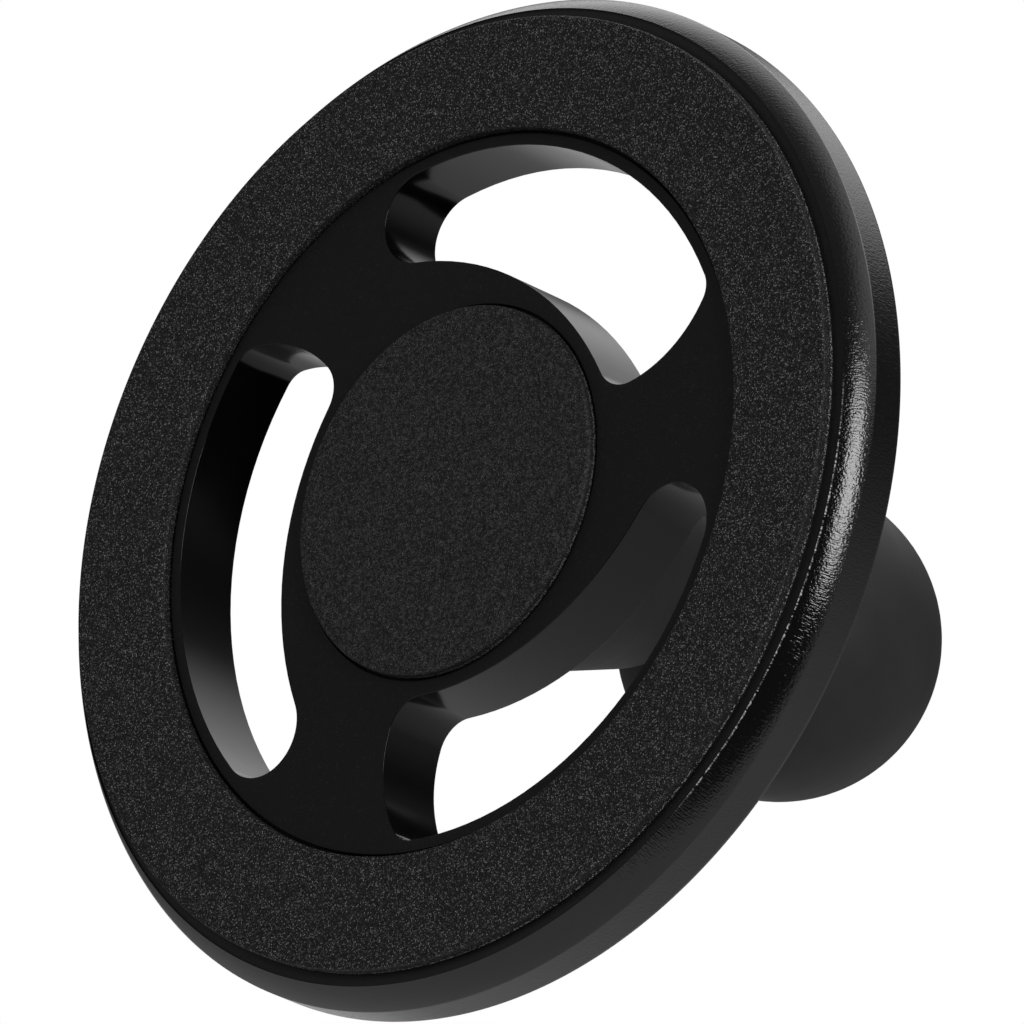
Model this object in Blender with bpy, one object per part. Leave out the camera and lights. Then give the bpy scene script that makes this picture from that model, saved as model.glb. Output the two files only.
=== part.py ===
"""A magnetic phone mount: a round plate with three swirling windows, a magnet ring
under a soft front pad, and a turned ball stud screwed to its back.

The frame is the ball's: the origin is the ball's centre, the disc's axis is Y, the
front that the phone sits on faces -Y, and Z is up. Sizes below are in millimetres.
"""

import bmesh
import bpy
from math import acos, atan2, ceil, cos, hypot, pi, radians, sin, sqrt, tan

MM = 0.001

# Ball stud
BALL_R = 8.5
STANDOFF = 22.0            # from the plate's back to the ball's centre
NECK_R = 3.6
NECK_LENGTH = 1.45
NECK_FILLET = 0.5
CONE_END_R = 4.78          # where the foot's cone turns in towards the neck
CONE_END_LENGTH = 1.39     # from there to the neck
CONE_END_ROUND = 6.0
STUD_FOOT_R = 7.8
STUD_FOOT_RIM = 0.3        # height of the foot's straight edge above the plate's back
STUD_BORE_TIP = 0.6        # room left past the screw's tip

# Centre pad and hub
CENTRE_PAD_R = 9.9
CENTRE_PAD_GAP = 0.15      # round the centre pad in its recess
HUB_WALL = 0.75            # between the centre pad's recess and the windows

# Windows, measured in the plane of the plate; angles run from +X towards +Z
WINDOW_COUNT = 3
WINDOW_WIDTH = 7.81        # radial, from the hub to the outer edge
SWIRL_R = 17.47            # the long inner edge, which swings out from the hub
SWIRL_ANGLE = 33.2         # where that edge comes nearest the axis
BULGE_R = 7.07             # the low end's side
BULGE_INSET = 3.88         # of its centre inside the windows' outer edge
BULGE_ANGLE = 40.4
HIGH_END_R = 2.51
HUB_CORNER_R = 1.91
RIM_CORNER_R = 1.4
EDGE_BREAK = 0.05          # chamfer along the windows' edges

# Front pads and their adhesive films
LEDGE_WIDTH = 0.63         # between the windows and the ring pad's seat
RING_PAD_WIDTH = 6.04
RING_PAD_INNER_GAP = 0.18
RING_PAD_OUTER_GAP = 0.63  # the seat's bare margin outside the pad
PAD_THICKNESS = 0.7
PAD_PROUD = 0.45           # how far the pads stand out of the web
PAD_OUTER_ROUND = 0.43
PAD_INNER_ROUND = 0.24
FILM_THICKNESS = 0.1
FILM_INSET = 0.25          # of each film inside its pad's edge

# Rim
LIP_HEIGHT = 0.13          # above the seat, at the seat's outer edge
SHOULDER_WIDTH = 0.95
SHOULDER_DROP = 1.47
SHOULDER_CROWN = 0.08
BACK_ROUND = 0.45
BACK_SKIN = 0.72           # behind the magnet channel

# Magnets and the steel ring behind them
MAGNET_COUNT = 18
MAGNET_WIDTH = 4.2
MAGNET_THICKNESS = 2.0
MAGNET_SPACING = 0.25      # between neighbours
MAGNET_GAP = 0.15          # to the channel's walls
BACKING_THICKNESS = 0.6

# Countersunk centre screw and its seat
SCREW_LENGTH = 12.0
SCREW_SHANK_R = 2.0
SCREW_HEAD_R = 4.0
SCREW_HEAD_EDGE = 0.3
SCREW_TIP_CHAMFER = 0.4
SOCKET_WIDTH = 2.5         # across flats
SOCKET_DEPTH = 1.3
SCREW_HEAD_GAP = 0.12
SCREW_HOLE_GAP = 0.25
SCREW_BORE_GAP = 0.1
REGISTER_DEPTH = 0.5       # the shallow recess that centres the stud's foot
REGISTER_GAP = 0.1

FACE_GAP = 0.05            # between stacked flat faces
CUT_OVERRUN = 0.3          # of a cutter past the faces that it cuts

# Facets
DISC_STEPS = 72
STUD_STEPS = 40
SCREW_STEPS = 24
MAGNET_STEPS = 4
BOW_STEPS = 4
FILLET_STEPS = 3
BALL_STEPS = 16
CHORD_ERROR = 0.015        # of the windows' arcs, in millimetres

# Radii that follow from the sizes above
CENTRE_SEAT_R = CENTRE_PAD_R + CENTRE_PAD_GAP
HUB_R = CENTRE_SEAT_R + HUB_WALL
WINDOW_OUTER_R = HUB_R + WINDOW_WIDTH
SEAT_INNER_R = WINDOW_OUTER_R + LEDGE_WIDTH
RING_PAD_INNER_R = SEAT_INNER_R + RING_PAD_INNER_GAP
RING_PAD_OUTER_R = RING_PAD_INNER_R + RING_PAD_WIDTH
SEAT_OUTER_R = RING_PAD_OUTER_R + RING_PAD_OUTER_GAP
SHOULDER_FOOT_R = SEAT_OUTER_R + SHOULDER_WIDTH
MAGNET_MID_R = (RING_PAD_INNER_R + RING_PAD_OUTER_R) / 2
MAGNET_INNER_R = MAGNET_MID_R - MAGNET_WIDTH / 2
MAGNET_OUTER_R = MAGNET_MID_R + MAGNET_WIDTH / 2
SCREW_HOLE_R = SCREW_SHANK_R + SCREW_HOLE_GAP
SCREW_BORE_R = SCREW_SHANK_R + SCREW_BORE_GAP
REGISTER_R = STUD_FOOT_R + REGISTER_GAP

# Places along Y, from the front face backwards, with the ball's centre at 0
SEAT_DEPTH = PAD_THICKNESS + FILM_THICKNESS + 2 * FACE_GAP - PAD_PROUD
CHANNEL_DEPTH = MAGNET_THICKNESS + BACKING_THICKNESS + 3 * FACE_GAP
Y_BACK = -STANDOFF
Y_CHANNEL = Y_BACK - BACK_SKIN
Y_SEAT = Y_CHANNEL - CHANNEL_DEPTH
Y_WEB = Y_SEAT - SEAT_DEPTH
Y_FACE = Y_WEB - PAD_PROUD
Y_FILM = Y_FACE + PAD_THICKNESS + FACE_GAP
Y_MAGNET = Y_SEAT + FACE_GAP
Y_BACKING = Y_MAGNET + MAGNET_THICKNESS + FACE_GAP
Y_SCREW = Y_SEAT + FACE_GAP
Y_REGISTER = Y_BACK - REGISTER_DEPTH
Y_STUD = Y_REGISTER + FACE_GAP


def clear_scene():
    for thing in list(bpy.data.objects):
        bpy.data.objects.remove(thing, do_unlink=True)


def make_material(name, colour, metallic, roughness):
    material = bpy.data.materials.new(name)
    material.use_nodes = True
    shader = material.node_tree.nodes["Principled BSDF"]
    shader.inputs["Base Color"].default_value = (*colour, 1.0)
    shader.inputs["Metallic"].default_value = metallic
    shader.inputs["Roughness"].default_value = roughness
    material.diffuse_color = (*colour, 1.0)
    return material


def black_anodised():
    return make_material("black_anodised", (0.022, 0.022, 0.023), 0.6, 0.42)


def satin_anodised():
    return make_material("satin_anodised", (0.04, 0.04, 0.041), 0.7, 0.38)


def pad_rubber():
    return make_material("pad_rubber", (0.028, 0.028, 0.029), 0.0, 0.75)


def adhesive():
    return make_material("adhesive", (0.72, 0.70, 0.64), 0.0, 0.5)


def nickel_plate():
    return make_material("nickel_plate", (0.62, 0.61, 0.58), 1.0, 0.25)


def plain_steel():
    return make_material("plain_steel", (0.42, 0.42, 0.43), 1.0, 0.4)


def black_oxide():
    return make_material("black_oxide", (0.06, 0.06, 0.062), 0.8, 0.4)


def add_object(name, bm, material, y=0.0):
    """Make an object from a bmesh and set it on the axis, y behind the ball's centre."""
    bmesh.ops.remove_doubles(bm, verts=bm.verts, dist=1e-7)
    bmesh.ops.recalc_face_normals(bm, faces=bm.faces)
    mesh = bpy.data.meshes.new(name)
    bm.to_mesh(mesh)
    bm.free()
    mesh.shade_smooth()
    mesh.set_sharp_from_angle(angle=radians(30))
    if material:
        mesh.materials.append(material)
    thing = bpy.data.objects.new(name, mesh)
    thing.location = (0.0, y * MM, 0.0)
    bpy.context.scene.collection.objects.link(thing)
    return thing


def rounded(corners):
    """Turn (radius, depth, round) corners into points, each rounded corner an arc that
    touches both of its sides."""
    points = []
    count = len(corners)
    for i, (r, y, size) in enumerate(corners):
        if not size:
            points.append((r, y))
            continue
        before = corners[i - 1]
        after = corners[(i + 1) % count]
        a = atan2(before[1] - y, before[0] - r)
        b = atan2(after[1] - y, after[0] - r)
        turn = (b - a) % (2 * pi)
        half = turn / 2 if turn < pi else turn / 2 - pi
        reach = size / sin(abs(half))
        middle = a + half
        cr, cy = r + reach * cos(middle), y + reach * sin(middle)
        start = size / tan(abs(half))
        first = atan2(y + start * sin(a) - cy, r + start * cos(a) - cr)
        last = atan2(y + start * sin(b) - cy, r + start * cos(b) - cr)
        sweep = (last - first + pi) % (2 * pi) - pi
        for k in range(FILLET_STEPS + 1):
            angle = first + sweep * k / FILLET_STEPS
            points.append((cr + size * cos(angle), cy + size * sin(angle)))
    return points


def bowed(start, end, crown):
    """Points of a shallow arc from start to end, bulging by crown to the right of the
    way it runs; the two ends are left out."""
    dr, dy = end[0] - start[0], end[1] - start[1]
    chord = hypot(dr, dy)
    radius = (chord * chord / 4 + crown * crown) / (2 * crown)
    across = (dy / chord, -dr / chord)
    along = (dr / chord, dy / chord)
    points = []
    for k in range(1, BOW_STEPS):
        s = chord * (k / BOW_STEPS - 0.5)
        rise = sqrt(radius * radius - s * s) - (radius - crown)
        points.append((start[0] + dr / 2 + along[0] * s + across[0] * rise,
                       start[1] + dy / 2 + along[1] * s + across[1] * rise))
    return points


def turned(name, profile, steps, material, y=0.0):
    """Spin a profile of (radius, depth) points about the Y axis. A profile that starts
    and ends on the axis makes a solid, any other a ring."""
    bm = bmesh.new()
    verts = [bm.verts.new((r * MM, d * MM, 0.0)) for r, d in profile]
    edges = [bm.edges.new(pair) for pair in zip(verts, verts[1:])]
    if profile[0][0] > 0 or profile[-1][0] > 0:
        edges.append(bm.edges.new((verts[-1], verts[0])))
    bmesh.ops.spin(bm, geom=verts + edges, cent=(0, 0, 0), axis=(0, 1, 0),
                   angle=2 * pi, steps=steps, use_merge=True)
    return add_object(name, bm, material, y)


def lofted(name, rings, material, y=0.0):
    """Join closed rings of (x, y, z) points into one capped solid."""
    bm = bmesh.new()
    loops = [[bm.verts.new((x * MM, d * MM, z * MM)) for x, d, z in ring] for ring in rings]
    for low, high in zip(loops, loops[1:]):
        for i in range(len(low)):
            bm.faces.new((low[i - 1], low[i], high[i], high[i - 1]))
    bm.faces.new(loops[0])
    bm.faces.new(reversed(loops[-1]))
    return add_object(name, bm, material, y)


def make_cutter(thing):
    thing.hide_render = True
    thing.display_type = "WIRE"


def cut(thing, cutter):
    modifier = thing.modifiers.new(cutter.name, "BOOLEAN")
    modifier.operation = "DIFFERENCE"
    modifier.solver = "EXACT"
    modifier.object = cutter


def crossing(c0, r0, c1, r1, side):
    """Where two circles cross, to the left (1) or right (-1) of the line from the first
    centre to the second."""
    dx, dz = c1[0] - c0[0], c1[1] - c0[1]
    apart = hypot(dx, dz)
    along = (r0 * r0 - r1 * r1 + apart * apart) / (2 * apart)
    off = side * sqrt(r0 * r0 - along * along)
    return (c0[0] + (along * dx - off * dz) / apart,
            c0[1] + (along * dz + off * dx) / apart)


def polar(r, degrees):
    return (r * cos(radians(degrees)), r * sin(radians(degrees)))


def heading(c0, c1):
    return atan2(c1[1] - c0[1], c1[0] - c0[0])


def window_arcs():
    """The window's edge as arcs (centre, radius, first angle, last angle, way round), each
    meeting the next on a common tangent. The swirl arc runs clockwise (-1), and the window
    lies outside its circle; the others run the other way (1), with the window inside."""
    axis = (0.0, 0.0)
    swirl = polar(SWIRL_R - HUB_R, SWIRL_ANGLE + 180)
    bulge = polar(WINDOW_OUTER_R - BULGE_INSET, BULGE_ANGLE)
    high = crossing(axis, WINDOW_OUTER_R - HIGH_END_R, swirl, SWIRL_R + HIGH_END_R, -1)
    low = crossing(swirl, SWIRL_R + HUB_CORNER_R, bulge, BULGE_R - HUB_CORNER_R, -1)
    corner = crossing(bulge, BULGE_R - RIM_CORNER_R, axis, WINDOW_OUTER_R - RIM_CORNER_R, 1)
    outer_first, outer_last = heading(axis, corner), heading(axis, high)
    bulge_first, bulge_last = heading(bulge, low), heading(bulge, corner)
    return [
        (axis, WINDOW_OUTER_R, outer_first, outer_last, 1),
        (high, HIGH_END_R, outer_last, heading(high, swirl), 1),
        (swirl, SWIRL_R, heading(swirl, high), heading(swirl, low), -1),
        (low, HUB_CORNER_R, heading(low, swirl), bulge_first, 1),
        (bulge, BULGE_R, bulge_first, bulge_last, 1),
        (corner, RIM_CORNER_R, bulge_last, outer_first, 1),
    ]


def window_outline(grow):
    """Points round one window, its edge moved outwards by grow."""
    points = []
    for centre, radius, first, last, way in window_arcs():
        sweep = way * ((way * (last - first)) % (2 * pi))
        steps = ceil(abs(sweep) / (2 * acos(1 - CHORD_ERROR / radius)))
        reach = radius + way * grow
        for k in range(steps):
            angle = first + sweep * k / steps
            points.append((centre[0] + reach * cos(angle), centre[1] + reach * sin(angle)))
    return points


def window_cutter(number):
    """One window's cutter, flared at both faces to break the edges."""
    flare = EDGE_BREAK + CUT_OVERRUN
    levels = [
        (Y_WEB - CUT_OVERRUN, flare),
        (Y_WEB + EDGE_BREAK, 0.0),
        (Y_BACK - EDGE_BREAK, 0.0),
        (Y_BACK + CUT_OVERRUN, flare),
    ]
    rings = [[(x, y, z) for x, z in window_outline(grow)] for y, grow in levels]
    cutter = lofted(f"window_cutter_{number}", rings, None)
    cutter.rotation_euler = (0.0, 2 * pi * number / WINDOW_COUNT, 0.0)
    make_cutter(cutter)
    return cutter


def mount_plate(material):
    lip = (SEAT_OUTER_R, Y_SEAT - LIP_HEIGHT)
    foot = (SHOULDER_FOOT_R, lip[1] + SHOULDER_DROP)
    back_edge = (SHOULDER_FOOT_R, Y_BACK)
    head_edge = Y_SCREW + SCREW_HEAD_EDGE
    countersink_r = SCREW_HEAD_R + SCREW_HEAD_GAP
    front = [
        (SCREW_HOLE_R, head_edge + countersink_r - SCREW_HOLE_R),
        (countersink_r, head_edge),
        (countersink_r, Y_SEAT),
        (CENTRE_SEAT_R, Y_SEAT),
        (CENTRE_SEAT_R, Y_WEB),
        (SEAT_INNER_R, Y_WEB),
        (SEAT_INNER_R, Y_SEAT),
        (MAGNET_INNER_R - MAGNET_GAP, Y_SEAT),
        (MAGNET_INNER_R - MAGNET_GAP, Y_CHANNEL),
        (MAGNET_OUTER_R + MAGNET_GAP, Y_CHANNEL),
        (MAGNET_OUTER_R + MAGNET_GAP, Y_SEAT),
        (SEAT_OUTER_R, Y_SEAT),
    ]
    shoulder = [lip, *bowed(lip, foot, SHOULDER_CROWN), foot]
    back_round = rounded([(*foot, 0), (*back_edge, BACK_ROUND), (0.0, Y_BACK, 0)])[1:-1]
    back = [(REGISTER_R, Y_BACK), (REGISTER_R, Y_REGISTER), (SCREW_HOLE_R, Y_REGISTER)]
    plate = turned("mount_plate", front + shoulder + back_round + back, DISC_STEPS, material)
    for number in range(WINDOW_COUNT):
        cut(plate, window_cutter(number))
    return plate


def ring_pad(material):
    corners = [
        (RING_PAD_INNER_R, 0.0, PAD_INNER_ROUND),
        (RING_PAD_OUTER_R, 0.0, PAD_OUTER_ROUND),
        (RING_PAD_OUTER_R, PAD_THICKNESS, 0),
        (RING_PAD_INNER_R, PAD_THICKNESS, 0),
    ]
    return turned("ring_pad", rounded(corners), DISC_STEPS, material, Y_FACE)


def ring_adhesive(material):
    inner = RING_PAD_INNER_R + FILM_INSET
    outer = RING_PAD_OUTER_R - FILM_INSET
    profile = [(inner, 0.0), (outer, 0.0), (outer, FILM_THICKNESS), (inner, FILM_THICKNESS)]
    return turned("ring_adhesive", profile, DISC_STEPS, material, Y_FILM)


def centre_pad(material):
    corners = [
        (0.0, 0.0, 0),
        (CENTRE_PAD_R, 0.0, PAD_INNER_ROUND),
        (CENTRE_PAD_R, PAD_THICKNESS, 0),
        (0.0, PAD_THICKNESS, 0),
    ]
    return turned("centre_pad", rounded(corners), DISC_STEPS, material, Y_FACE)


def centre_adhesive(material):
    outer = CENTRE_PAD_R - FILM_INSET
    profile = [(0.0, 0.0), (outer, 0.0), (outer, FILM_THICKNESS), (0.0, FILM_THICKNESS)]
    return turned("centre_adhesive", profile, DISC_STEPS, material, Y_FILM)


def backing_ring(material):
    profile = [
        (MAGNET_INNER_R, 0.0),
        (MAGNET_OUTER_R, 0.0),
        (MAGNET_OUTER_R, BACKING_THICKNESS),
        (MAGNET_INNER_R, BACKING_THICKNESS),
    ]
    return turned("backing_ring", profile, DISC_STEPS, material, Y_BACKING)


def magnets(material):
    """Arc magnets side by side in the channel, all sharing one mesh."""
    sweep = 2 * pi / MAGNET_COUNT - MAGNET_SPACING / MAGNET_MID_R
    rings = []
    for k in range(MAGNET_STEPS + 1):
        c, s = cos(sweep * (k / MAGNET_STEPS - 0.5)), sin(sweep * (k / MAGNET_STEPS - 0.5))
        rings.append([
            (MAGNET_INNER_R * c, 0.0, MAGNET_INNER_R * s),
            (MAGNET_OUTER_R * c, 0.0, MAGNET_OUTER_R * s),
            (MAGNET_OUTER_R * c, MAGNET_THICKNESS, MAGNET_OUTER_R * s),
            (MAGNET_INNER_R * c, MAGNET_THICKNESS, MAGNET_INNER_R * s),
        ])
    first = lofted("magnet_01", rings, material, Y_MAGNET)
    made = [first]
    for number in range(1, MAGNET_COUNT):
        magnet = bpy.data.objects.new(f"magnet_{number + 1:02d}", first.data)
        magnet.location = first.location
        magnet.rotation_euler = (0.0, 2 * pi * number / MAGNET_COUNT, 0.0)
        bpy.context.scene.collection.objects.link(magnet)
        made.append(magnet)
    return made


def centre_screw(material):
    """A countersunk screw with a hexagon socket; its thread is a plain cylinder."""
    profile = [
        (0.0, 0.0),
        (SCREW_HEAD_R, 0.0),
        (SCREW_HEAD_R, SCREW_HEAD_EDGE),
        (SCREW_SHANK_R, SCREW_HEAD_EDGE + SCREW_HEAD_R - SCREW_SHANK_R),
        (SCREW_SHANK_R, SCREW_LENGTH - SCREW_TIP_CHAMFER),
        (SCREW_SHANK_R - SCREW_TIP_CHAMFER, SCREW_LENGTH),
        (0.0, SCREW_LENGTH),
    ]
    screw = turned("centre_screw", profile, SCREW_STEPS, material, Y_SCREW)
    corner_r = SOCKET_WIDTH / 2 / cos(pi / 6)
    hexagon = [polar(corner_r, 60 * k) for k in range(6)]
    rings = [[(x, y, z) for x, z in hexagon] for y in (-CUT_OVERRUN, SOCKET_DEPTH)]
    socket = lofted("socket_cutter", rings, None, Y_SCREW)
    make_cutter(socket)
    cut(screw, socket)
    return screw


def ball_stud(material):
    """Foot, cone, neck and ball in one turned piece, bored from the foot for the screw."""
    bore_end = Y_SCREW + SCREW_LENGTH + STUD_BORE_TIP
    neck_end = -sqrt(BALL_R * BALL_R - NECK_R * NECK_R)
    neck_start = neck_end - NECK_LENGTH
    foot_top = Y_BACK + STUD_FOOT_RIM
    lead_in = SCREW_BORE_GAP + SCREW_TIP_CHAMFER
    stem = [
        (0.0, bore_end, 0),
        (SCREW_BORE_R, bore_end, 0),
        (SCREW_BORE_R, Y_STUD + lead_in, 0),
        (SCREW_BORE_R + lead_in, Y_STUD, 0),
        (STUD_FOOT_R, Y_STUD, 0),
        (STUD_FOOT_R, foot_top, 0),
        (CONE_END_R, neck_start - CONE_END_LENGTH, CONE_END_ROUND),
        (NECK_R, neck_start, NECK_FILLET),
        (NECK_R, neck_end, 0),
    ]
    first = atan2(neck_end, NECK_R)
    ball = []
    for k in range(1, BALL_STEPS):
        angle = first + (pi / 2 - first) * k / BALL_STEPS
        ball.append((BALL_R * cos(angle), BALL_R * sin(angle)))
    return turned("ball_stud", rounded(stem) + ball + [(0.0, BALL_R)], STUD_STEPS, material)


def main():
    clear_scene()
    plate_black = black_anodised()
    rubber = pad_rubber()
    film = adhesive()
    pieces = [
        mount_plate(plate_black),
        ring_pad(rubber),
        ring_adhesive(film),
        centre_pad(rubber),
        centre_adhesive(film),
        backing_ring(plain_steel()),
        *magnets(nickel_plate()),
        centre_screw(black_oxide()),
        ball_stud(satin_anodised()),
    ]
    mount = bpy.data.objects.new("phone_mount", None)
    bpy.context.scene.collection.objects.link(mount)
    for piece in pieces:
        piece.parent = mount


main()
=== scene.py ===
"""The looks of the magnetic phone mount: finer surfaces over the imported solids, the
finish of every piece, the studio and the camera.

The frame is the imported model's: the ball's centre is the origin, the disc's axis is Y,
the front faces -Y and Z is up. Sizes here are in millimetres, made metres by MM.
"""

from math import cos, pi, radians, sin

import bpy
import numpy as np
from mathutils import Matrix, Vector


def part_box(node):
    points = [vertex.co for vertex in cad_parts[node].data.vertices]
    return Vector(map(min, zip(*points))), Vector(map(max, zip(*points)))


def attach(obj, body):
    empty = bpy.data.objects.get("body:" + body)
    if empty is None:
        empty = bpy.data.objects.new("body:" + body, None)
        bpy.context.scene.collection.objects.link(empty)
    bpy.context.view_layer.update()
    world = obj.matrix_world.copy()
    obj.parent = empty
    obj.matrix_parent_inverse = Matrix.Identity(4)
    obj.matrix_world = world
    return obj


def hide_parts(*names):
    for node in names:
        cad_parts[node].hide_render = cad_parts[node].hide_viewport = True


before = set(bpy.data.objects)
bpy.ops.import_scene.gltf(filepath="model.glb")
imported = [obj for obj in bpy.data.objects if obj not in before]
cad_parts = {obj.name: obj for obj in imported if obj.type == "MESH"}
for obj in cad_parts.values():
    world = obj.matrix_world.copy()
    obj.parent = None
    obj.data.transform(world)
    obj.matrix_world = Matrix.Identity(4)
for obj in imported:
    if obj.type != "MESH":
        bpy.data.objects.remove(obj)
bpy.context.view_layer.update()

MM = 0.001


def reach(node):
    """A round node's outer radius and its two ends along Y, in millimetres."""
    low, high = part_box(node)
    return high[0] / MM, low[1] / MM, high[1] / MM


Y_BACK = reach("mount_plate")[2]
PAD_R, Y_FACE, Y_PAD_FOOT = reach("ring_pad")
HUB_PAD_R = reach("centre_pad")[0]
FOOT_R, Y_STUD, BALL_R = reach("ball_stud")

# Sizes that the boxes of the nodes don't give
PAD_WIDTH = 6.04
PAD_PROUD = 0.45           # from the web to a pad's face
PAD_OUTER_ROUND = 0.15
PAD_INNER_ROUND = 0.24
SEAT_DROP = 0.2            # from a pad's foot to its seat
SEAT_MARGIN = 0.63         # bare seat outside the ring pad
SEAT_CLEARANCE = 0.18      # bare seat inside the ring pad
HUB_CLEARANCE = 0.15       # bare seat round the centre pad
LEDGE_WIDTH = 0.63         # web between the windows and the ring pad's seat
LIP_HEIGHT = 0.13          # of the rim's lip above the seat
SHOULDER_WIDTH = 0.95
SHOULDER_DROP = 1.42
SHOULDER_CROWN = 0.08
CREASE_ROUND = 0.25        # between the shoulder and the side
BACK_ROUND = 0.45
REGISTER_DEPTH = 0.5       # of the stud's recess in the plate's back
REGISTER_GAP = 0.1
HUB_HOLE_R = 2.25
COUNTERSINK_R = 4.12
CHANNEL_INNER_R = 20.19    # of the magnet channel
CHANNEL_OUTER_R = 24.69
BACK_SKIN = 0.72           # plate left behind the magnet channel
CONE_END_R = 4.78          # where the stud's cone turns in towards the neck
CONE_END_LENGTH = 1.39
CONE_END_ROUND = 6.0
NECK_R = 3.6
NECK_LENGTH = 1.45
NECK_FILLET = 0.5
FOOT_RIM = 0.3             # how far the foot's straight edge stands behind the plate
STUD_BORE_R = 2.1
STUD_BORE_DEPTH = 9.65

# The windows, as arcs in the plane of the plate; angles run from +X towards +Z
WINDOW_COUNT = 3
WINDOW_WIDTH = 7.81        # radial, from the hub to the outer edge
SWIRL_R = 17.47            # the long inner edge
SWIRL_ANGLE = 33.2         # where that edge comes nearest the axis
BULGE_R = 7.07             # the low end's side
BULGE_INSET = 3.88         # of its centre inside the windows' outer edge
BULGE_ANGLE = 40.4
HIGH_END_R = 2.51
HUB_CORNER_R = 1.91
RIM_CORNER_R = 1.4
EDGE_BREAK = 0.05          # round along the edges of the windows and seats
CUTTER_PAST = 0.4          # how far a window's cutter reaches past the plate

# Radii and heights that follow
PAD_INNER_R = PAD_R - PAD_WIDTH
SEAT_INNER_R = PAD_INNER_R - SEAT_CLEARANCE
SEAT_OUTER_R = PAD_R + SEAT_MARGIN
WINDOW_OUTER_R = SEAT_INNER_R - LEDGE_WIDTH
HUB_R = WINDOW_OUTER_R - WINDOW_WIDTH
HUB_SEAT_R = HUB_PAD_R + HUB_CLEARANCE
SHOULDER_FOOT_R = SEAT_OUTER_R + SHOULDER_WIDTH
Y_WEB = Y_FACE + PAD_PROUD
Y_SEAT = Y_PAD_FOOT + SEAT_DROP
Y_CHANNEL = Y_BACK - BACK_SKIN

# Mesh fineness
DISC_STEPS = 360
STUD_STEPS = 192
ARC_STEP = radians(3)
BREAK_POINTS = 7           # along the small round at a window's edge
SHARP_ANGLE = radians(18)

# How the faces of the plate are told apart
WALL_TURN = 0.8            # the most that a wall's unit normal may lie along the axis
WALL_MARGIN = 0.3          # kept clear beside the seats
HAIR = 0.01                # slack at the lip and the back

# Camera, from the photograph
CAMERA_AZIMUTH = 41.53
CAMERA_ELEVATION = -23.32
CAMERA_DISTANCE = 712.9
CAMERA_LENS = 492.2
SENSOR = 36.0
CLIP_START = 0.05          # in metres
FOOT_PLANE_Y = -25.77      # the plane that the ring pad's foot lies in
AIM_RIGHT = 3.151          # the view's centre, right of and below the disc's centre
AIM_DOWN = 0.995

# Lamps: azimuth, elevation, then distance, width and height in metres, and watts
SIDE_LAMP = (71.5, 0, 1.2, 0.31, 0.68, 7.5)
OVERHEAD_LAMP = (178, 64, 1.2, 0.7, 0.6, 3.0)

# Floor, in metres
FLOOR_HALF = 6.0
FLOOR_LEVEL = -0.6
FLOOR_GREY = 0.75
FLOOR_LIFT = 0.5           # light that the camera sees it give off

# World light, where 1 is white: the even light, and what shiny surfaces see
EVEN_LIGHT = 0.5
ROOM_GLOW = 0.04
UPPER_GLOW = 0.16
FLOOR_GLOW = 0.6
CEILING_GLOW = 1.15
PANEL_GLOW = 1.1
SCREEN_GLOW = 0.52
PATCH_SHADE = 0.9
PATCH_REACH = (33, 42)     # degrees from the camera, full and none


def polar(r, degrees):
    return np.array([r * cos(radians(degrees)), r * sin(radians(degrees))])


def heading(start, end):
    return np.arctan2(end[1] - start[1], end[0] - start[0])


def arc(centre, radius, first, last):
    """Points on a circle from one angle to another, both ends included."""
    count = max(3, int(np.ceil(abs(last - first) / ARC_STEP)) + 1)
    angle = np.linspace(first, last, count)
    return np.c_[centre[0] + radius * np.cos(angle), centre[1] + radius * np.sin(angle)]


def rounded(corners):
    """An outline through (radius, depth, round) corners, each round an arc that touches
    the two sides: its centre lies on the corner's bisector, size / sin(half) away."""
    pieces = []
    for i, (r, y, size) in enumerate(corners):
        here = np.array([r, y])
        if not size:
            pieces.append(here[None])
            continue
        back = np.array(corners[i - 1][:2]) - here
        ahead = np.array(corners[(i + 1) % len(corners)][:2]) - here
        back, ahead = back / np.linalg.norm(back), ahead / np.linalg.norm(ahead)
        half = np.arccos(np.clip(back @ ahead, -1, 1)) / 2
        bisector = (back + ahead) / np.linalg.norm(back + ahead)
        centre = here + bisector * size / np.sin(half)
        first = heading(centre, here + back * size / np.tan(half))
        last = heading(centre, here + ahead * size / np.tan(half))
        sweep = (last - first + pi) % (2 * pi) - pi
        pieces.append(arc(centre, size, first, first + sweep))
    return np.concatenate(pieces)


def bowed(start, end, crown, count=10):
    """A shallow arc from start to end, standing crown proud to the right of its way: a
    parabola in the share t of the chord, 4 * crown * t * (1 - t)."""
    start, end = np.array(start), np.array(end)
    t = np.linspace(0, 1, count)[:, None]
    along = end - start
    across = np.array([along[1], -along[0]]) / np.linalg.norm(along)
    return start + along * t + across * 4 * crown * t * (1 - t)


def make_piece(name, points, faces, materials=()):
    """A mesh object from points in millimetres, shaded smooth with crisp corners."""
    mesh = bpy.data.meshes.new(name)
    mesh.from_pydata(points * MM, [], faces)
    mesh.shade_smooth()
    mesh.set_sharp_from_angle(angle=SHARP_ANGLE)
    for material in materials:
        mesh.materials.append(material)
    piece = bpy.data.objects.new(name, mesh)
    bpy.context.scene.collection.objects.link(piece)
    return piece


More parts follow.
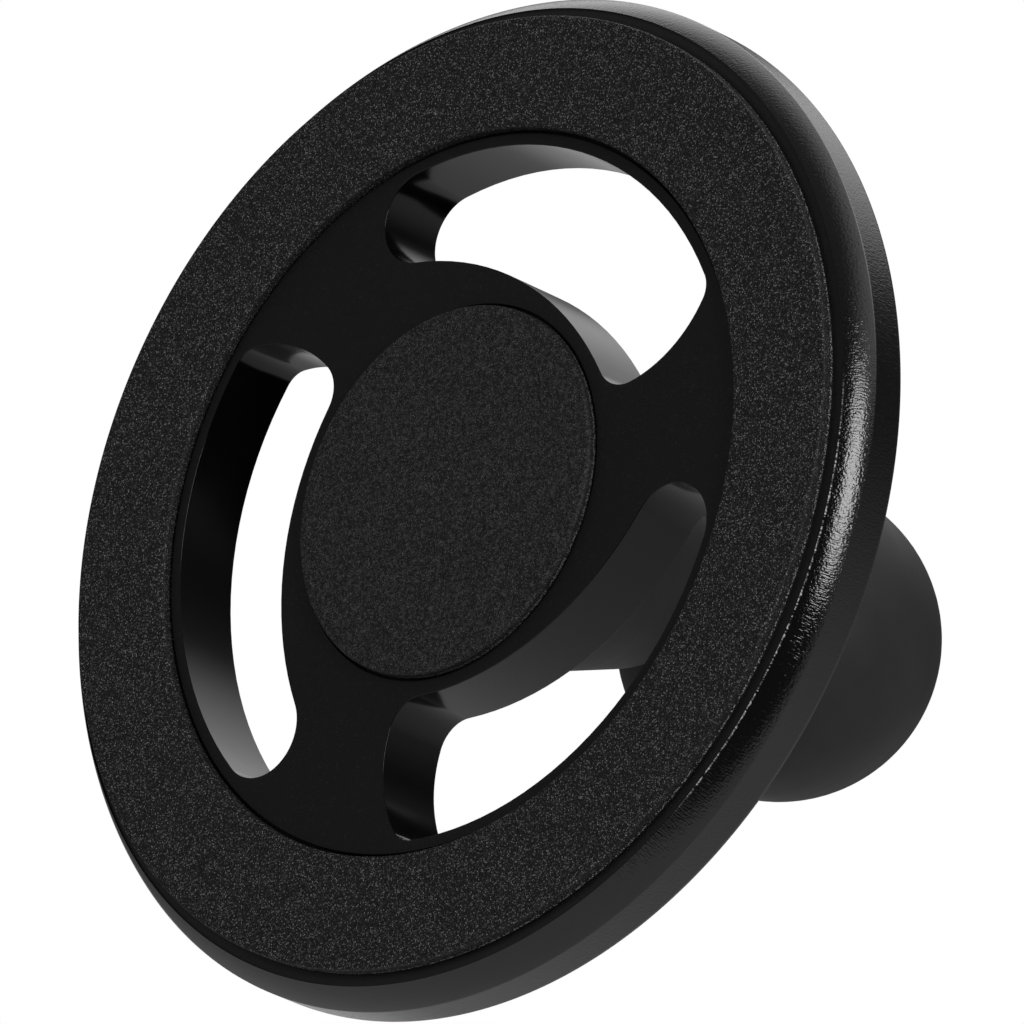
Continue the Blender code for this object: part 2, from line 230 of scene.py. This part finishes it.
def lathe(name, profile, steps, materials=()):
    """A solid of revolution: profile point (r, y) goes to (r cos a, y, r sin a) for
    evenly spaced angles a. A profile that begins and ends on the axis gets a single
    point at each pole, any other closes on itself as a ring."""
    poles = profile[0, 0] < 1e-9 and profile[-1, 0] < 1e-9
    ring = profile[1:-1] if poles else profile
    count = len(ring)
    angle = np.arange(steps) * 2 * pi / steps
    x = np.outer(np.cos(angle), ring[:, 0])
    z = np.outer(np.sin(angle), ring[:, 0])
    y = np.broadcast_to(ring[:, 1], x.shape)
    points = np.stack([x, y, z], axis=-1).reshape(-1, 3)
    i = np.arange(steps)[:, None]
    j = np.arange(count - 1 if poles else count)[None, :]
    ahead, above = (i + 1) % steps, (j + 1) % count
    here, there = i * count, ahead * count
    quads = np.stack([here + j, here + above, there + above, there + j], axis=-1)
    faces = quads.reshape(-1, 4).tolist()
    if poles:
        first, last = len(points), len(points) + 1
        points = np.concatenate([points, [[0, profile[0, 1], 0], [0, profile[-1, 1], 0]]])
        here, there, end = here[:, 0], there[:, 0], count - 1
        faces += np.stack([np.full(steps, first), here, there], axis=-1).tolist()
        faces += np.stack([np.full(steps, last), there + end, here + end], axis=-1).tolist()
    return make_piece(name, points, faces, materials)


def crossing(c0, r0, c1, r1, side):
    """Where two circles cross, left (1) or right (-1) of the line between their centres."""
    apart = np.linalg.norm(c1 - c0)
    unit = (c1 - c0) / apart
    along = (r0 ** 2 - r1 ** 2 + apart ** 2) / (2 * apart)
    off = side * np.sqrt(r0 ** 2 - along ** 2)
    return c0 + unit * along + np.array([-unit[1], unit[0]]) * off


def window_edge(grow):
    """One window's outline as tangent arcs: the outer edge, the round high end, the swirl
    along the hub, and the low end's bulge between two corner rounds. Each arc's centre is
    where two offset circles cross. The whole edge is moved outwards by grow."""
    axis = np.zeros(2)
    swirl = polar(SWIRL_R - HUB_R, SWIRL_ANGLE + 180)
    bulge = polar(WINDOW_OUTER_R - BULGE_INSET, BULGE_ANGLE)
    high = crossing(axis, WINDOW_OUTER_R - HIGH_END_R, swirl, SWIRL_R + HIGH_END_R, -1)
    low = crossing(swirl, SWIRL_R + HUB_CORNER_R, bulge, BULGE_R - HUB_CORNER_R, -1)
    corner = crossing(bulge, BULGE_R - RIM_CORNER_R, axis, WINDOW_OUTER_R - RIM_CORNER_R, 1)
    stretches = [
        (axis, WINDOW_OUTER_R, heading(axis, corner), heading(axis, high), 1),
        (high, HIGH_END_R, heading(axis, high), heading(high, swirl), 1),
        (swirl, SWIRL_R, heading(swirl, high), heading(swirl, low), -1),
        (low, HUB_CORNER_R, heading(low, swirl), heading(bulge, low), 1),
        (bulge, BULGE_R, heading(bulge, low), heading(bulge, corner), 1),
        (corner, RIM_CORNER_R, heading(bulge, corner), heading(axis, corner), 1),
    ]
    edge = []
    for centre, radius, first, last, way in stretches:
        sweep = way * ((way * (last - first)) % (2 * pi))
        edge.append(arc(centre, radius + way * grow, first, first + sweep)[:-1])
    return np.concatenate(edge)


def window_cutter(number):
    """A closed tube on the window's outline, opened by a quarter round at each face."""
    turn = np.linspace(0, pi / 2, BREAK_POINTS)
    rise = EDGE_BREAK * (1 - np.cos(turn))[::-1]
    inset = EDGE_BREAK * np.sin(turn)[::-1]
    front = [(Y_WEB - CUTTER_PAST, EDGE_BREAK + CUTTER_PAST)]
    front += [(Y_WEB + EDGE_BREAK - s, g) for s, g in zip(inset, rise)]
    back = [(Y_BACK + Y_WEB - y, g) for y, g in reversed(front)]
    angle = 2 * pi * number / WINDOW_COUNT
    rings = []
    for y, grow in front + back:
        edge = window_edge(grow)
        x = edge[:, 0] * cos(angle) - edge[:, 1] * sin(angle)
        z = edge[:, 0] * sin(angle) + edge[:, 1] * cos(angle)
        rings.append(np.c_[x, np.full(len(x), y), z])
    count = len(rings[0])
    points = np.concatenate(rings)
    i = np.arange(len(rings) - 1)[:, None] * count
    j = np.arange(count)[None, :]
    ahead = (j + 1) % count
    quads = np.stack([i + j, i + ahead, i + count + ahead, i + count + j], axis=-1)
    faces = quads.reshape(-1, 4).tolist()
    faces.append(list(range(count))[::-1])
    faces.append(list(range(len(points) - count, len(points))))
    return make_piece(f"window_cutter_{number}", points, faces)


def settle(piece):
    """Make what the modifiers give the piece's own mesh."""
    graph = bpy.context.evaluated_depsgraph_get()
    mesh = bpy.data.meshes.new_from_object(piece.evaluated_get(graph))
    piece.modifiers.clear()
    piece.data = mesh


def face_out(piece):
    """Turn a closed mesh whose signed volume is negative the right way round."""
    mesh = piece.data
    mesh.calc_loop_triangles()
    corners = np.empty(len(mesh.loop_triangles) * 3, int)
    mesh.loop_triangles.foreach_get("vertices", corners)
    points = np.empty(len(mesh.vertices) * 3)
    mesh.vertices.foreach_get("co", points)
    a, b, c = np.moveaxis(points.reshape(-1, 3)[corners.reshape(-1, 3)], 1, 0)
    if np.einsum("ij,ij->", a, np.cross(b, c)) < 0:
        mesh.flip_normals()


# Materials

class Value:
    """A shader socket that takes part in Python arithmetic; each step adds a Math node."""

    def __init__(self, paint, socket):
        self.paint = paint
        self.socket = socket

    def math(self, operation, *others):
        return self.paint.node("ShaderNodeMath", {"operation": operation}, [self, *others])

    def __add__(self, other):
        return self.math("ADD", other)

    def __radd__(self, other):
        return self.math("ADD", other)

    def __sub__(self, other):
        return self.math("SUBTRACT", other)

    def __rsub__(self, other):
        return self.paint.node("ShaderNodeMath", {"operation": "SUBTRACT"}, [other, self])

    def __mul__(self, other):
        return self.math("MULTIPLY", other)

    def __rmul__(self, other):
        return self.math("MULTIPLY", other)

    def __rpow__(self, other):
        return self.paint.node("ShaderNodeMath", {"operation": "POWER"}, [other, self])

    def step(self, low, high):
        """0 below low, 1 above high and smooth between."""
        settings = {"interpolation_type": "SMOOTHSTEP"}
        inputs = {"Value": self, "From Min": low, "From Max": high}
        return self.paint.node("ShaderNodeMapRange", settings, inputs)

    def near(self, full, none):
        """1 within full of zero, 0 beyond none and smooth between."""
        return 1 - self.math("ABSOLUTE").step(full, none)


class Nodes:
    """A node tree under construction."""

    def __init__(self, tree):
        self.tree = tree

    def node(self, kind, settings=None, inputs=None, output=0):
        """Add a node, set its settings, then its inputs by name or place, and give one output."""
        node = self.tree.nodes.new(kind)
        for key, value in (settings or {}).items():
            setattr(node, key, value)
        entries = inputs.items() if isinstance(inputs, dict) else enumerate(inputs or [])
        for key, value in entries:
            self.feed(node.inputs[key], value)
        return Value(self, node.outputs[output])

    def feed(self, socket, value):
        if isinstance(value, Value):
            self.tree.links.new(value.socket, socket)
        else:
            socket.default_value = value

    def vector(self, operation, *inputs, output=0):
        return self.node("ShaderNodeVectorMath", {"operation": operation}, list(inputs), output)

    def axis(self, vector, letter):
        return self.node("ShaderNodeSeparateXYZ", {}, [vector], letter)

    def mix_colour(self, factor, first, second):
        node = self.tree.nodes.new("ShaderNodeMix")
        node.data_type = "RGBA"
        for name, value in (("Factor_Float", factor), ("A_Color", first), ("B_Color", second)):
            socket = next(s for s in node.inputs if s.identifier == name)
            self.feed(socket, value)
        return Value(self, next(s for s in node.outputs if s.identifier == "Result_Color"))

    def noise(self, vector, scale, detail=2.0, roughness=0.5):
        inputs = {"Vector": vector, "Scale": scale, "Detail": detail, "Roughness": roughness}
        return self.node("ShaderNodeTexNoise", {}, inputs)


class Paint(Nodes):
    """A material under construction; numbers that stay the same all over go straight
    onto the shader's sockets."""

    def __init__(self, name, **constants):
        self.material = bpy.data.materials.new(name)
        self.material.use_nodes = True
        super().__init__(self.material.node_tree)
        self.shader = self.tree.nodes["Principled BSDF"]
        self.surface(**constants)

    def surface(self, **inputs):
        for socket, value in inputs.items():
            self.feed(self.shader.inputs[socket.replace("_", " ")], value)
        return self.material

    def place(self):
        """The place on the piece, in millimetres."""
        metres = self.node("ShaderNodeTexCoord", output="Object")
        return self.vector("MULTIPLY", metres, (1 / MM, 1 / MM, 1 / MM))

    def across(self, place):
        """The part of a place that lies across the disc's axis."""
        return self.vector("MULTIPLY", place, (1.0, 0.0, 1.0))

    def radius(self, place):
        """How far a place is from the disc's axis."""
        return self.vector("LENGTH", self.across(place), output="Value")

    def bump(self, height, distance):
        return self.node("ShaderNodeBump", {}, {"Height": height, "Distance": distance * MM})


def grey(level, warmth=0.0):
    return (level * (1 + warmth), level, level * (1 - warmth), 1.0)


# Finishes. Scales of noise and grain are per millimetre, and bump heights are in
# millimetres like all other lengths.

GRAINS = 11.5
GRAIN_EDGE = (0.15, 0.62)  # where a grain starts to fade and where it ends
PAD_WALL_SHADE = 0.45           # share of the grit's colour taken off the pads' walls as painted shade
ROW_GAIN = 5.0             # of the bright row over the rest of the grit


def pad_grit(name, outer_r, row_depth, spread, dark, bright, clump_scale, mottle, height):
    """Soft black pad under fine grit: small grains that stand a little proud, most of them
    dull and a few bright, spread times apart, over a faint mottle. The walls are painted
    darker as shade, with a bright row low on the outer one."""
    paint = Paint(name, Metallic=0.0, Specular_IOR_Level=0.2)
    place = paint.place()
    radius = paint.radius(place)
    depth = paint.axis(place, "Y") - Y_FACE
    inputs = {"Vector": place, "Scale": GRAINS}
    grains = 1 - paint.node("ShaderNodeTexVoronoi", {}, inputs).step(*GRAIN_EDGE)
    tint = paint.node("ShaderNodeTexVoronoi", {}, inputs, "Color")
    chance = paint.node("ShaderNodeSeparateColor", {}, [tint])
    clumps = paint.noise(place, clump_scale, 3.0)
    # Painted shade: the pads' walls are given a darker colour than the face
    wall = 1 - depth.step(0.05, 0.2) * PAD_WALL_SHADE
    row = (depth - row_depth).near(0.03, 0.09) * radius.step(outer_r - 0.1, outer_r - 0.05)
    level = grains * spread ** (chance - 1) * (0.75 + clumps * 0.5) * (wall + row * ROW_GAIN)
    level = level + clumps.step(0.42, 0.75) * wall * mottle
    colour = paint.mix_colour(level, grey(dark), grey(bright))
    rough = 0.7 - chance * 0.2
    return paint.surface(Base_Color=colour, Roughness=rough, Normal=paint.bump(grains, height))


SPECK_SCALE = 7.0
FINE_SCALE = 8.0
SEAT_PAINTED_LIGHT = 0.9


def plate_face():
    """Matt black anodising with the faintest specks, with painted light on the ring pad's seat: a
    paler band there.
    """
    paint = Paint("plate_face", Metallic=0.0, Specular_IOR_Level=0.3)
    place = paint.place()
    radius = paint.radius(place)
    speck = paint.noise(place, SPECK_SCALE, 1.0).step(0.62, 0.78)
    fine = paint.noise(place, FINE_SCALE, 2.0)
    # Painted light: the seat is made paler, standing in for the light its surface catches
    seat = radius.step(PAD_R - 0.3, PAD_R + 0.5) * SEAT_PAINTED_LIGHT
    colour = paint.mix_colour(speck * 0.5 + fine * 0.2 + seat, grey(0.0034), grey(0.017))
    rough = 0.4 + fine * 0.1
    return paint.surface(Base_Color=colour, Roughness=rough, Normal=paint.bump(fine, 0.004))


def plate_wall():
    """The windows' milled walls, smoother and glossier than the face."""
    paint = Paint("plate_wall", Metallic=0.0, Base_Color=grey(0.0008), Specular_IOR_Level=0.25)
    return paint.surface(Roughness=0.13 + paint.noise(paint.place(), 0.9, 3.0) * 0.07)


AROUND = 300.0             # noise units for a radian round the rim
ALONG = 2.5                # and for a millimetre along its section
TICK_SCALE = 1.1
LIP_HIGHLIGHT_BREAKUP = 0.7
LIP_WANDER = 0.1           # how far the painted highlight line along the lip strays
CREASE_HIGHLIGHT = 0.16


def plate_rim():
    """The turned rim: chatter marks across it, from noise on the direction round the axis
    squeezed along the section, a painted highlight broken into bits along the lower right of
    its lip, and a faint painted highlight line on the upper half of the crease."""
    paint = Paint("plate_rim", Metallic=0.0)
    place = paint.place()
    radius = paint.radius(place)
    round_axis = paint.vector("NORMALIZE", paint.across(place))
    x, z = paint.axis(round_axis, "X"), paint.axis(round_axis, "Z")
    slow = paint.vector("MULTIPLY", place, (0.0, ALONG, 0.0))
    along = paint.vector("ADD", paint.vector("MULTIPLY", round_axis, (AROUND,) * 3), slow)
    ticks = paint.noise(along, TICK_SCALE, 1.0, 0.6)
    fine = paint.noise(place, FINE_SCALE, 1.0)
    # Painted highlight: a pale dotted line on the lip's lower right, where the side lamp's
    # reflection falls
    lip = (radius - SEAT_OUTER_R + (fine - 0.5) * LIP_WANDER).near(0.02, 0.06)
    lip = lip * x.step(0.55, 0.66) * (1 - z.step(-0.15, -0.02))
    lip_highlight = lip * paint.noise(along, LIP_HIGHLIGHT_BREAKUP, 3.0, 0.8).step(0.42, 0.66)
    # Painted highlight: a thin pale line on the upper half of the crease, standing in for the
    # ceiling's reflection there
    crease_y = Y_SEAT - LIP_HEIGHT + SHOULDER_DROP
    crease = (paint.axis(place, "Y") - crease_y).near(0.02, 0.05) * z.step(-0.05, 0.25)
    colour = paint.mix_colour(lip_highlight + crease * CREASE_HIGHLIGHT, grey(0.0015), grey(0.55))
    relief = paint.bump(ticks + fine * 0.8, 0.0145)
    return paint.surface(Base_Color=colour, Roughness=0.1 + fine * 0.05, Normal=relief)


def stud_metal():
    """Turned and anodised stud: faint rings round the axis."""
    paint = Paint("stud_metal", Metallic=0.0, Specular_IOR_Level=0.15)
    place = paint.place()
    squeezed = paint.vector("MULTIPLY", place, (0.08, 1.0, 0.08))
    rings = paint.noise(squeezed, 3.0, 3.0, 0.6)
    cloud = paint.noise(place, 0.18, 3.0)
    colour = paint.mix_colour(cloud.step(0.3, 0.7), grey(0.017), grey(0.023))
    rough = 0.42 + rings * 0.14
    return paint.surface(Base_Color=colour, Roughness=rough, Normal=paint.bump(rings, 0.008))


def nickel():
    """Bright nickel with a soft unevenness."""
    paint = Paint("nickel", Metallic=1.0, Base_Color=grey(0.62, 0.03))
    return paint.surface(Roughness=0.2 + paint.noise(paint.place(), 0.4, 3.0) * 0.2)


def rolled_steel():
    """Rolled steel with fine lines along X."""
    paint = Paint("rolled_steel", Metallic=1.0, Base_Color=grey(0.42))
    lines = paint.vector("MULTIPLY", paint.place(), (0.03, 1.0, 1.0))
    return paint.surface(Roughness=0.3 + paint.noise(lines, 2.5, 2.0) * 0.25)


def blacked_steel():
    """Black-oxide steel, slightly mottled."""
    paint = Paint("blacked_steel", Metallic=0.8)
    mottle = paint.noise(paint.place(), 0.7, 3.0)
    colour = paint.mix_colour(mottle, grey(0.03), grey(0.07))
    return paint.surface(Base_Color=colour, Roughness=0.3 + mottle * 0.2)


def glue_film():
    """Milky adhesive film."""
    paint = Paint("glue_film", Metallic=0.0)
    cloud = paint.noise(paint.place(), 0.3, 2.0)
    colour = paint.mix_colour(cloud, grey(0.66, 0.03), grey(0.74, 0.05))
    return paint.surface(Base_Color=colour, Roughness=0.45)


# Pieces

def plate_profile():
    """The plate's section from the hub's countersink out over the pad seats, the web, the
    magnet channel, the lip, the shoulder and the side, and back along the rear."""
    lip = (SEAT_OUTER_R, Y_SEAT - LIP_HEIGHT)
    foot = (SHOULDER_FOOT_R, lip[1] + SHOULDER_DROP)
    front = [
        (HUB_HOLE_R, Y_SEAT + COUNTERSINK_R - HUB_HOLE_R, 0),
        (COUNTERSINK_R, Y_SEAT, 0),
        (HUB_SEAT_R, Y_SEAT, 0),
        (HUB_SEAT_R, Y_WEB, EDGE_BREAK),
        (SEAT_INNER_R, Y_WEB, EDGE_BREAK),
        (SEAT_INNER_R, Y_SEAT, 0),
        (CHANNEL_INNER_R, Y_SEAT, 0),
        (CHANNEL_INNER_R, Y_CHANNEL, 0),
        (CHANNEL_OUTER_R, Y_CHANNEL, 0),
        (CHANNEL_OUTER_R, Y_SEAT, 0),
        (SEAT_OUTER_R, Y_SEAT, 0),
    ]
    shoulder = bowed(lip, foot, SHOULDER_CROWN)[:-1]
    back_edge = (SHOULDER_FOOT_R, Y_BACK, BACK_ROUND)
    outside = [(*shoulder[-1], 0), (*foot, CREASE_ROUND), back_edge, (0, Y_BACK, 0)]
    register_r = FOOT_R + REGISTER_GAP
    register_y = Y_BACK - REGISTER_DEPTH
    register = np.array([(register_r, Y_BACK), (register_r, register_y), (HUB_HOLE_R, register_y)])
    return np.concatenate([rounded(front), shoulder, rounded(outside)[1:-1], register])


def paint_plate(plate):
    """Give each face its finish by where it lies: the rim beyond the seat, the windows'
    walls where the face looks sideways inside the seats, and the flat face elsewhere."""
    mesh = plate.data
    count = len(mesh.polygons)
    centre = np.empty(count * 3)
    normal = np.empty(count * 3)
    mesh.polygons.foreach_get("center", centre)
    mesh.polygons.foreach_get("normal", normal)
    centre = centre.reshape(-1, 3) / MM
    across = np.abs(normal.reshape(-1, 3)[:, 1])
    r = np.hypot(centre[:, 0], centre[:, 2])
    slots = np.zeros(count, int)
    inside = (r > HUB_SEAT_R + WALL_MARGIN) & (r < SEAT_INNER_R - WALL_MARGIN)
    slots[inside & (across < WALL_TURN)] = 1
    slots[(r > SEAT_OUTER_R - HAIR) & (centre[:, 1] < Y_BACK - HAIR)] = 2
    mesh.polygons.foreach_set("material_index", slots)


def build_plate():
    plate = lathe("plate", plate_profile(), DISC_STEPS)
    face_out(plate)
    cutters = [window_cutter(number) for number in range(WINDOW_COUNT)]
    for cutter in cutters:
        face_out(cutter)
        modifier = plate.modifiers.new(cutter.name, "BOOLEAN")
        modifier.operation = "DIFFERENCE"
        modifier.solver = "EXACT"
        modifier.object = cutter
    settle(plate)
    for cutter in cutters:
        bpy.data.objects.remove(cutter, do_unlink=True)
    plate.data.shade_smooth()
    plate.data.set_sharp_from_angle(angle=SHARP_ANGLE)
    weigh = plate.modifiers.new("even_faces", "WEIGHTED_NORMAL")
    weigh.weight = 100
    weigh.keep_sharp = True
    settle(plate)
    plate.data.materials.clear()
    for material in (plate_face(), plate_wall(), plate_rim()):
        plate.data.materials.append(material)
    paint_plate(plate)
    return plate


def build_ring_pad(material):
    corners = [
        (PAD_INNER_R, Y_FACE, PAD_INNER_ROUND),
        (PAD_R, Y_FACE, PAD_OUTER_ROUND),
        (PAD_R, Y_PAD_FOOT, 0),
        (PAD_INNER_R, Y_PAD_FOOT, 0),
    ]
    return lathe("ring_pad_skin", rounded(corners), DISC_STEPS, [material])


def build_hub_pad(material):
    corners = [
        (0, Y_FACE, 0),
        (HUB_PAD_R, Y_FACE, PAD_INNER_ROUND),
        (HUB_PAD_R, Y_PAD_FOOT, 0),
        (0, Y_PAD_FOOT, 0),
    ]
    return lathe("hub_pad_skin", rounded(corners), DISC_STEPS, [material])


def build_stud(material):
    """Foot, cone, neck and ball; the ball is the circle of its radius about the origin."""
    bore_end = Y_STUD + STUD_BORE_DEPTH
    neck_end = -np.sqrt(BALL_R ** 2 - NECK_R ** 2)
    stem = rounded([
        (0, bore_end, 0),
        (STUD_BORE_R, bore_end, 0),
        (STUD_BORE_R, Y_STUD, 0),
        (FOOT_R, Y_STUD, 0),
        (FOOT_R, Y_BACK + FOOT_RIM, 0),
        (CONE_END_R, neck_end - NECK_LENGTH - CONE_END_LENGTH, CONE_END_ROUND),
        (NECK_R, neck_end - NECK_LENGTH, NECK_FILLET),
        (NECK_R, neck_end, 0),
    ])
    ball = arc((0, 0), BALL_R, np.arctan2(neck_end, NECK_R), pi / 2)[1:]
    ball[-1, 0] = 0
    return lathe("stud", np.concatenate([stem, ball]), STUD_STEPS, [material])


def dress_nodes():
    """Finish the nodes that stay as they are."""
    finishes = {
        "ring_adhesive": glue_film(),
        "backing_ring": rolled_steel(),
        "centre_screw": blacked_steel(),
    }
    finishes["centre_adhesive"] = finishes["ring_adhesive"]
    bright = nickel()
    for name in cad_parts:
        if name.startswith("magnet_"):
            finishes[name] = bright
    for name, material in finishes.items():
        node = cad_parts[name]
        for slot in node.material_slots:
            slot.material = material


def build_mount():
    ring_grit = pad_grit("ring_grit", outer_r=PAD_R, row_depth=0.6, spread=36, dark=0.0072,
                         bright=0.25, clump_scale=2.5, mottle=0.003, height=0.02)
    hub_grit = pad_grit("hub_grit", outer_r=HUB_PAD_R, row_depth=0.45, spread=10, dark=0.0076,
                        bright=0.1, clump_scale=4.5, mottle=0.2, height=0.012)
    pieces = [
        (build_plate(), "mount_plate", "black_anodised"),
        (build_ring_pad(ring_grit), "ring_pad", "pad_rubber"),
        (build_hub_pad(hub_grit), "centre_pad", "pad_rubber"),
        (build_stud(stud_metal()), "ball_stud", "satin_anodised"),
    ]
    for piece, node, slot in pieces:
        face_out(piece)
        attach(piece, "root")
        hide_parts(node)
    dress_nodes()


# Studio

def look_from(thing, target, direction, distance):
    """Put a lamp or the camera on a ray from target, facing back along it, upright."""
    direction = Vector(direction).normalized()
    thing.location = Vector(target) + direction * distance
    thing.rotation_euler = direction.to_track_quat("Z", "Y").to_euler()


def direction_of(azimuth, elevation):
    a, e = radians(azimuth), radians(elevation)
    return Vector((sin(a) * cos(e), -cos(a) * cos(e), sin(e)))


def add_camera():
    data = bpy.data.cameras.new("camera")
    data.lens = CAMERA_LENS
    data.sensor_width = SENSOR
    data.clip_start = CLIP_START
    camera = bpy.data.objects.new("camera", data)
    bpy.context.scene.collection.objects.link(camera)
    back = direction_of(CAMERA_AZIMUTH, CAMERA_ELEVATION)
    right = Vector((0, 0, 1)).cross(back).normalized()
    up = back.cross(right)
    aim = Vector((0, FOOT_PLANE_Y, 0)) + right * AIM_RIGHT - up * AIM_DOWN
    look_from(camera, aim * MM, back, CAMERA_DISTANCE * MM)
    bpy.context.scene.camera = camera


def add_lamp(name, azimuth, elevation, distance, width, height, power):
    data = bpy.data.lights.new(name, "AREA")
    data.shape = "RECTANGLE"
    data.size = width
    data.size_y = height
    data.energy = power
    lamp = bpy.data.objects.new(name, data)
    bpy.context.scene.collection.objects.link(lamp)
    look_from(lamp, (0, FOOT_PLANE_Y * MM, 0), direction_of(azimuth, elevation), distance)
    return lamp


def add_floor():
    """A pale floor well below the mount, which is held in the air by its ball. The camera
    sees it brighter than it lights the mount, and its shadow stays."""
    paint = Paint("floor_paint", Base_Color=grey(FLOOR_GREY), Roughness=0.9,
                  Emission_Strength=FLOOR_LIFT)
    camera = paint.node("ShaderNodeLightPath", output="Is Camera Ray")
    clear = paint.node("ShaderNodeLightPath", output="Is Transmission Ray")
    paint.surface(Emission_Color=camera.math("MAXIMUM", clear))
    corners = [(-1, -1), (1, -1), (1, 1), (-1, 1)]
    points = np.array([(x * FLOOR_HALF, y * FLOOR_HALF, FLOOR_LEVEL) for x, y in corners])
    floor = make_piece("floor", points / MM, [(0, 1, 2, 3)], [paint.material])
    floor.visible_glossy = False


def add_world():
    """White wherever the camera looks past the mount. Shiny surfaces see a pale floor that
    fades towards the horizon, a ceiling over the back half, a panel low at the right, a
    screen at the left back and a dark patch round the camera. Their edges fade between two
    values of the direction's x, y or z, and the patch's between two angles. The rest of the
    light is even."""
    world = bpy.data.worlds.new("studio")
    world.use_nodes = True
    bpy.context.scene.world = world
    sky = Nodes(world.node_tree)
    background = world.node_tree.nodes["Background"]
    way = sky.node("ShaderNodeTexCoord", output="Generated")
    x, y, z = (sky.axis(way, letter) for letter in "XYZ")
    floor = (1 - z.step(-0.7, 0.5)) * FLOOR_GLOW
    behind = (y + (1 - z) * 0.6).step(-0.15, 0.35)
    ceiling = z.step(0.55, 0.74) * behind * CEILING_GLOW
    right = x.step(0.3, 0.5) * (1 - y.step(0.35, 0.6))
    panel = z.step(0.1, 0.4) * right * behind * PANEL_GLOW
    left = (1 - x.step(-0.7, -0.58)) * y.step(0.55, 0.67)
    screen = z.step(-0.4, 0.0) * left * SCREEN_GLOW
    back = tuple(direction_of(CAMERA_AZIMUTH, CAMERA_ELEVATION))
    towards = sky.vector("DOT_PRODUCT", way, back, output="Value")
    inner, outer = PATCH_REACH
    patch = towards.step(cos(radians(outer)), cos(radians(inner)))
    bright = floor.math("MAXIMUM", ceiling).math("MAXIMUM", panel).math("MAXIMUM", screen)
    dim = ROOM_GLOW + z.step(0.25, 0.7) * UPPER_GLOW
    room = (dim + bright) * (1 - patch * PATCH_SHADE)
    camera = sky.node("ShaderNodeLightPath", output="Is Camera Ray")
    glossy = sky.node("ShaderNodeLightPath", output="Is Glossy Ray")
    clear = sky.node("ShaderNodeLightPath", output="Is Transmission Ray")
    seen = glossy * room + (1 - glossy) * EVEN_LIGHT
    direct = camera.math("MAXIMUM", clear)
    sky.feed(background.inputs["Color"], (1, 1, 1, 1))
    sky.feed(background.inputs["Strength"], direct + (1 - direct) * seen)


def build_studio():
    add_camera()
    add_floor()
    add_world()
    add_lamp("side", *SIDE_LAMP)
    overhead = add_lamp("overhead", *OVERHEAD_LAMP)
    overhead.visible_glossy = False


build_mount()
build_studio()
bpy.context.scene.view_settings.view_transform = "Standard"
